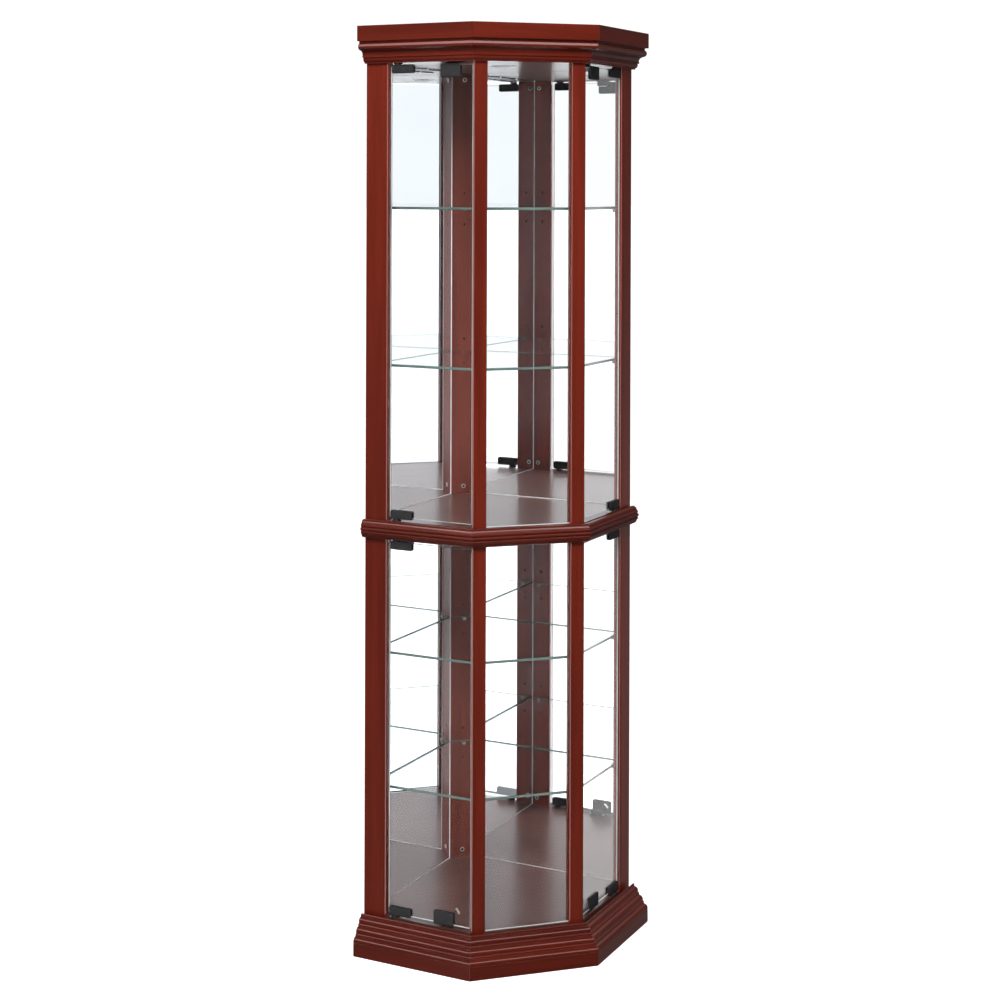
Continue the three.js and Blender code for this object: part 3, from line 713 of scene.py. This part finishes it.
# ---- Shelf pins -----------------------------------------------------------------------------
INNER_FRONT = front_place(FRONT_POST_FACE - FRONT_HALF, BOARD)
FRONT_HOLE_SHARE = 0.4  # of the way along a front post's inner face
FRONT_ALONG = Vector(
    (INNER_FRONT[0] - SIDE_POST_FACE, INNER_FRONT[1] - DOOR_SIDE_END)
).normalized()
FRONT_HOLE = Vector((SIDE_POST_FACE, DOOR_SIDE_END)).lerp(Vector(INNER_FRONT), FRONT_HOLE_SHARE)
PIN_PLACES = {  # the hole's place, and the way that its pin points
    "side": ((SIDE_POST_FACE, 20), (-1, 0)),
    "front": (tuple(FRONT_HOLE), (-FRONT_ALONG.y, FRONT_ALONG.x)),
    "back": ((BACK_POST_FACE / 2, BACK_POST_FACE / 2), (1 / ROOT2, 1 / ROOT2)),
}
PIN_BELOW_SHELF = 2.6
PIN_PROFILE = [
    (0, -8.5), (1.9, -8.5), (2.4, -8), (2.4, 0.2), (3.6, 0.3), (3.8, 0.6),
    (3.8, 1.5), (3.5, 1.9), (2.4, 2.0), (2.4, 11.4), (2.0, 12), (0, 12),
]
PIN_PAD = {"radius": 3.4, "top": 2.5, "length": 9.5, "start": 2.2}


def shelf_pins():
    """Five pins under each shelf, each with a flat-topped pad."""
    for level in LEVELS:
        for number in (1, 2):
            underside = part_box(f"shelf_{level}_{number}")[0].z / MM
            for post, (place, out) in PIN_PLACES.items():
                for side in ("middle",) if post == "back" else SIDES:
                    bm = bmesh.new()
                    origin = (*place, underside - PIN_BELOW_SHELF)
                    turned(bm, PIN_PROFILE, origin, (*out, 0), 16)
                    pad = half_round(PIN_PAD["radius"], PIN_PAD["top"])
                    length, start = PIN_PAD["length"], PIN_PAD["start"]
                    drawn(bm, pad, origin, (*out, 0), (0, 0, 1), length, start)
                    name = f"shelf_pin_{level}_{number}_{post}_{side}"
                    placed(name, bm, side, pin_steel)


# ---- Screws and bushes ----------------------------------------------------------------------
CUP_WASHER = [
    (3.1, 0.05), (4.3, 0.05), (4.3, 0.5), (3.9, 1.1), (3.4, 1.2), (3.1, 0.8), (3.1, 0.05),
]
SUNK_HEAD = [(0, 0.05), (3.0, 0.05), (3.0, 0.5), (2.4, 0.75), (1.2, 0.7), (0.9, 0.3), (0, 0.25)]
SCREW_HEIGHTS = [87.5, WAIST_BOTTOM / MM - 16, WAIST_TOP / MM + 15, CEILING / MM - 14]
SIDE_SCREW_V = 11


def post_screws():
    """Sunk screws in cup washers, where the posts meet the panels."""
    for count, z in enumerate(SCREW_HEIGHTS):
        for post, place, out, side in (
            ("back_post", (BACK_POST_FACE / 2, BACK_POST_FACE / 2, z), (1, 1, 0), "middle"),
            ("side_post", (SIDE_POST_FACE, SIDE_SCREW_V, z), (-1, 0, 0), "left"),
            ("side_post", (SIDE_POST_FACE, SIDE_SCREW_V, z), (-1, 0, 0), "right"),
        ):
            bm = bmesh.new()
            turned(bm, CUP_WASHER, place, out)
            placed(f"{post}_washer_{count}_{side}", bm, side, screw_zinc)
            bm = bmesh.new()
            turned(bm, SUNK_HEAD, place, out)
            placed(f"{post}_screw_{count}_{side}", bm, side, black_metal)


BUSH_RING = [
    (6.9, 0.05), (8.6, 0.05), (8.6, 1.2), (8.1, 1.7), (7.4, 1.7), (6.9, 1.3), (6.9, 0.05),
]


def pivot_bushes():
    """A plastic ring round each hole that a door's pivot pin turns in."""
    for name, face, out in (
        ("floor", FLOOR_TOP, UP),
        ("waist_under", WAIST_BOTTOM, DOWN),
        ("waist_over", WAIST_TOP, UP),
        ("ceiling", CEILING, DOWN),
    ):
        for side in SIDES:
            bm = bmesh.new()
            turned(bm, BUSH_RING, (PIVOT_U, PIVOT_V, face / MM), (0, 0, out), 28)
            placed(f"pivot_bush_{name}_{side}", bm, side, latch_plastic)


# ---- Latches --------------------------------------------------------------------------------
LATCH_U = 351.5
LATCH_FROM_CLIP = 17.5  # from where the strike clip starts to the latch's middle
LATCH_FLANGE_TOP = 2.3  # from the panel that carries the latch
LATCH_BODY_TOP = 12.35
LATCH_SCREW_REACH = 14.2
LATCH_SCREW = [(0, 0), (2.1, 0.0), (2.1, 0.5), (1.5, 1.1), (0.7, 1.2), (0.5, 0.8), (0, 0.7)]
SPRING_LOOP = [
    (-9, 0), (-5.5, 8), (1.5, 17.6), (9.5, 8.8), (8.5, 7.9), (1.5, 15.8), (-4.4, 7.2), (-7.6, 0),
]
SPRING_ARCH = [
    (-5.5, 0), (-5.0, 0), (-4.4, 0.9), (4.4, 0.9), (5.0, 0), (5.5, 0), (4.8, 1.5), (-4.8, 1.5),
]


def latch_fittings():
    """Two screws and a spring plate on each latch: a bent loop below, a low arch above."""
    for level, face, out in (("lower", FLOOR_TOP, UP), ("upper", CEILING, DOWN)):
        middle = CLIP_START[level] + LATCH_FROM_CLIP
        seat = face / MM + out * LATCH_FLANGE_TOP
        top = face / MM + out * LATCH_BODY_TOP
        for side in SIDES:
            for count, offset in enumerate((-LATCH_SCREW_REACH, LATCH_SCREW_REACH)):
                bm = bmesh.new()
                turned(bm, LATCH_SCREW, (LATCH_U, middle + offset, seat), (0, 0, out), 14)
                placed(f"latch_screw_{level}_{count}_{side}", bm, side, screw_zinc)
            bm = bmesh.new()
            if level == "lower":
                place = (LATCH_U - 6, middle + 16.5, top)
                drawn(bm, SPRING_LOOP, place, (1, 0, 0), (0, 0, 1), 7)
            else:
                place = (LATCH_U, middle + 1, top)
                drawn(bm, SPRING_ARCH, place, (0, 1, 0), (0, 0, out), 16, -8)
            placed(f"latch_spring_plate_{level}_{side}", bm, side, nickel)


# ---- Pieces that ride on the doors ----------------------------------------------------------
DOOR_GAP_BOTTOM, DOOR_GAP_TOP = 5.7, 5.2  # from the panels to the door glass
CLAMP_START, CLAMP_LENGTH = 46, 46
CLAMP_HEIGHT, CLIP_HEIGHT = 16, 25
CLAMP_HALF, CLIP_HALF = 5.5, 4.5  # half their thickness
GRIP_OVER = 2.2  # how far a clamp or clip reaches past the edge of the glass
GRUB = [(0, -0.2), (2.3, -0.2), (2.3, 0.45), (2.0, 0.7), (1.3, 0.7), (1.2, 0.1), (0, 0.1)]
GRUB_FROM_OPENING = 5.5
CLAMP_GRUBS, CLIP_GRUBS = (12, 34), (8, 34)
LINER = [(-0.1, -0.6), (0.1, -0.6), (0.12, 0.5), (-0.12, 0.5)]
LINER_OUT = 2.65  # from the middle of the glass
LINER_SHORT = 1.5  # how much shorter it is at each end than its clamp


def grip_fittings(side, level, kind, start, length, open_edge, inward, half, screws):
    """The grub screws of one clamp or clip, and the rubber that lines its mouth."""
    body = f"door_{level}_{side}"
    for count, offset in enumerate(screws):
        bm = bmesh.new()
        z = open_edge - inward * GRUB_FROM_OPENING
        turned(bm, GRUB, (PIVOT_U - half, start + offset, z), (-1, 0, 0), 16)
        name = f"grub_{kind}_{level}_{count}_{side}"
        placed(name, bm, side, black_metal, body)
    for face, u in (("inner", PIVOT_U - LINER_OUT), ("outer", PIVOT_U + LINER_OUT)):
        bm = bmesh.new()
        place = (u, start + LINER_SHORT, open_edge)
        drawn(bm, LINER, place, (0, 1, 0), (0, 0, inward), length - 2 * LINER_SHORT)
        name = f"liner_{kind}_{face}_{level}_{side}"
        placed(name, bm, side, lead_sheath, body)


def door_fittings():
    """The fittings of the two clamps and the clip on each door."""
    for level, bottom, top in (
        ("lower", FLOOR_TOP, WAIST_BOTTOM),
        ("upper", WAIST_TOP, CEILING),
    ):
        low_edge, high_edge = bottom / MM + DOOR_GAP_BOTTOM, top / MM - DOOR_GAP_TOP
        latch_edge, latch_inward = (high_edge, DOWN) if level == "upper" else (low_edge, UP)
        clamp_mouth, clip_mouth = CLAMP_HEIGHT - GRIP_OVER, CLIP_HEIGHT - GRIP_OVER
        clamp = (CLAMP_START, CLAMP_LENGTH)
        clip = (CLIP_START[level], CLIP_LENGTH)
        grips = [
            ("top_clamp", *clamp, high_edge, DOWN, clamp_mouth, CLAMP_HALF, CLAMP_GRUBS),
            ("bottom_clamp", *clamp, low_edge, UP, clamp_mouth, CLAMP_HALF, CLAMP_GRUBS),
            ("clip", *clip, latch_edge, latch_inward, clip_mouth, CLIP_HALF, CLIP_GRUBS),
        ]
        for side in SIDES:
            for kind, start, length, edge, inward, mouth, half, screws in grips:
                open_edge = edge + inward * mouth
                grip_fittings(side, level, kind, start, length, open_edge, inward, half, screws)


# ---- Pale beads: a painted highlight for glass-edge glints ----------------------------------
FOOT_BEAD = [(0, 0), (1.2, 0), (1.1, 0.5), (0.7, 0.9), (0.3, 1.2), (0, 1.3)]
UPRIGHT_BEAD = [(0, 0), (1.1, 0), (0.9, 0.6), (0.3, 0.9), (0, 0.9)]
FRONT_BEAD = [(0, 0), (1.2, 0), (1.1, 0.6), (0.7, 1.1), (0, 1.4)]
BEAD_GAP = 0.05
BEAD_START, BEAD_END = 357, 38.5  # along the mirror, u
UPRIGHT_BEADS = (38.3, 356.9)
FRONT_BEAD_INSET, FRONT_BEAD_SETBACK = 27.5, 3.9


def glint_beads():
    """Thin pale beads at each mirror's foot and sides and under the fixed glass: a painted
    highlight.
    """
    for level, face, top in (
        ("lower", FLOOR_TOP, WAIST_BOTTOM),
        ("upper", WAIST_TOP, CEILING),
    ):
        z = face / MM + BEAD_GAP
        rise = top / MM - z - 1
        for side in SIDES:
            bm = bmesh.new()
            foot = (BEAD_START, BEAD_GAP, z)
            drawn(bm, FOOT_BEAD, foot, (-1, 0, 0), (0, 0, 1), BEAD_START - BEAD_END)
            for u in UPRIGHT_BEADS:
                drawn(bm, UPRIGHT_BEAD, (u, BEAD_GAP, z), (0, 0, 1), (0, 1, 0), rise)
            placed(f"mirror_glint_bead_{level}_{side}", bm, side, glint_bead)
        bm = bmesh.new()
        start = front_place(-FRONT_HALF + FRONT_BEAD_INSET, FRONT_BEAD_SETBACK)
        length = 2 * (FRONT_HALF - FRONT_BEAD_INSET)
        drawn(bm, FRONT_BEAD, (*start, z), (-1, 1, 0), (0, 0, 1), length)
        placed(f"front_glint_bead_{level}", bm, "middle", glint_bead)


# ---- Lamp, lead and back boards -------------------------------------------------------------
LAMP_PLACE = 190.5  # u and v of the lamp's middle
REFLECTOR = [
    (4, 3.2), (20.5, 3.4), (21.5, 4.2), (19, 9), (13, 15), (7, 18),
    (6.6, 17.4), (12.4, 14.4), (18, 8.8), (4, 4.2), (4, 3.2),
]
BULB = [(0, 6), (2.6, 6.6), (4.2, 8.4), (4.6, 11), (4.2, 14), (3.6, 17), (3.6, 21), (0, 21)]


def lamp_fittings():
    """The reflector and the bulb behind the lamp's lens."""
    lamp = (LAMP_PLACE, LAMP_PLACE, CEILING / MM)
    bm = bmesh.new()
    turned(bm, REFLECTOR, lamp, (0, 0, 1), 28)
    placed("lamp_reflector", bm, "middle", nickel)
    bm = bmesh.new()
    turned(bm, BULB, lamp, (0, 0, 1), 20)
    placed("lamp_bulb", bm, "middle", lens_glass)


CLIP_PLACES = [  # u, v and the way that the lead runs there
    (120, 31, (28, 3)),
    (200, 29, (40, 2)),
    (300, 25, (26, 4)),
]
SADDLE = [
    (2.4, 0), (3.6, 0), (3.6, -0.4), (1.9, -0.5), (1.5, -2.7), (0.8, -3.2),
    (-0.8, -3.2), (-1.5, -2.7), (-1.9, -0.5), (-3.6, -0.4), (-3.6, 0), (-2.4, 0),
    (-1.6, -0.1), (-1.25, -2.3), (-0.6, -2.75), (0.6, -2.75), (1.25, -2.3), (1.6, -0.1),
]


def lead_clips():
    """Small saddles that hold the lamp's lead to the ceiling."""
    for count, (u, v, heading) in enumerate(CLIP_PLACES):
        bm = bmesh.new()
        drawn(bm, SADDLE, (u, v, CEILING / MM - 0.05), (*heading, 0), (0, 0, 1), 4, -2)
        placed(f"lead_clip_{count}", bm, "middle", screw_zinc)


PIN_HEAD = [(0, 0), (2.6, 0), (2.5, 0.5), (1.6, 0.9), (0, 1.0)]
BOARD_FACE = -6.3  # v of the back board's outer face
PIN_ROWS = (("outer", 352), ("inner", 46))
PIN_START, PIN_STEP, PIN_COUNT = 60, 176, 10


def board_pins():
    """A column of flat pin heads down both edges of each back board."""
    for side in SIDES:
        for edge, u in PIN_ROWS:
            bm = bmesh.new()
            for k in range(PIN_COUNT):
                turned(bm, PIN_HEAD, (u, BOARD_FACE, PIN_START + k * PIN_STEP), (0, -1, 0), 12)
            placed(f"board_pins_{edge}_{side}", bm, side, screw_zinc)


shelf_pins()
post_screws()
pivot_bushes()
latch_fittings()
door_fittings()
glint_beads()
lamp_fittings()
lead_clips()
board_pins()
